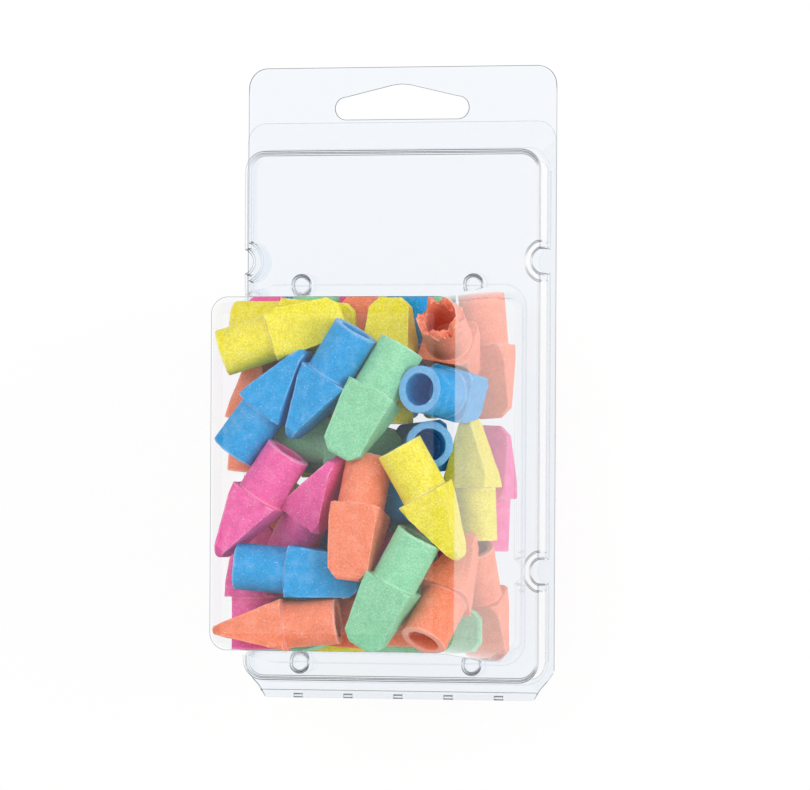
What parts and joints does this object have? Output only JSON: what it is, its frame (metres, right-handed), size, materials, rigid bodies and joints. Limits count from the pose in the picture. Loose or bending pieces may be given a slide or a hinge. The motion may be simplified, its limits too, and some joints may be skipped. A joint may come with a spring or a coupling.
{
  "type": "plastic clamshell pack",
  "caption": "Clear thermoformed clamshell hang pack, a deep drafted blister on a shallow plateau with a living hinge and a hang tab, full of chisel-shaped rubber pencil caps.",
  "frame": {"origin": "middle of the pack's outline on the back flange's flat rear face, at the bottom of the box", "axes": "+X across the pack to its right seen from the front, +Y up the pack from the hinge to the hang tab, +Z out of the front of the blister"},
  "size_m": [0.0742, 0.1458, 0.0556],
  "materials": {
    "front_film": "clear glossy formed film",
    "back_film": "clear glossy formed film",
    "rubber_yellow": "matte moulded rubber",
    "rubber_blue": "matte moulded rubber",
    "rubber_green": "matte moulded rubber",
    "rubber_pink": "matte moulded rubber",
    "rubber_orange": "matte moulded rubber"
  },
  "bodies": {
    "front": {"front_shell": "front_film", "cap_01": "rubber_yellow", "cap_02": "rubber_blue", "cap_03": "rubber_blue", "cap_04": "rubber_green", "cap_05": "rubber_blue", "cap_06": "rubber_pink", "cap_07": "rubber_pink", "cap_08": "rubber_orange", "cap_09": "rubber_yellow", "cap_10": "rubber_blue", "cap_11": "rubber_green", "cap_12": "rubber_orange", "cap_13": "rubber_orange", "cap_14": "rubber_yellow", "cap_15": "rubber_yellow", "cap_16": "rubber_orange", "cap_17": "rubber_green", "cap_18": "rubber_orange", "cap_19": "rubber_blue", "cap_20": "rubber_pink", "cap_21": "rubber_pink", "cap_22": "rubber_orange", "cap_23": "rubber_blue", "cap_24": "rubber_pink", "cap_25": "rubber_green", "cap_26": "rubber_orange", "cap_27": "rubber_blue", "cap_28": "rubber_green", "cap_29": "rubber_orange", "cap_30": "rubber_blue", "cap_31": "rubber_pink", "cap_32": "rubber_green", "cap_33": "rubber_green", "cap_34": "rubber_yellow", "cap_35": "rubber_green", "cap_36": "rubber_blue", "cap_37": "rubber_pink", "cap_38": "rubber_yellow", "cap_39": "rubber_green", "cap_40": "rubber_orange", "cap_41": "rubber_yellow", "cap_42": "rubber_green", "cap_43": "rubber_orange", "cap_44": "rubber_blue", "cap_45": "rubber_pink", "cap_46": "rubber_pink", "cap_47": "rubber_yellow", "cap_48": "rubber_orange"},
    "back": {"back_shell": "back_film"}
  },
  "joints": [
    {"name": "back_hinge", "type": "hinge", "parent": "front", "child": "back", "pos_m": [0, -0.07291, 0.00045], "axis": [-1, 0, 0], "range_deg": [0, 180]}
  ]
}
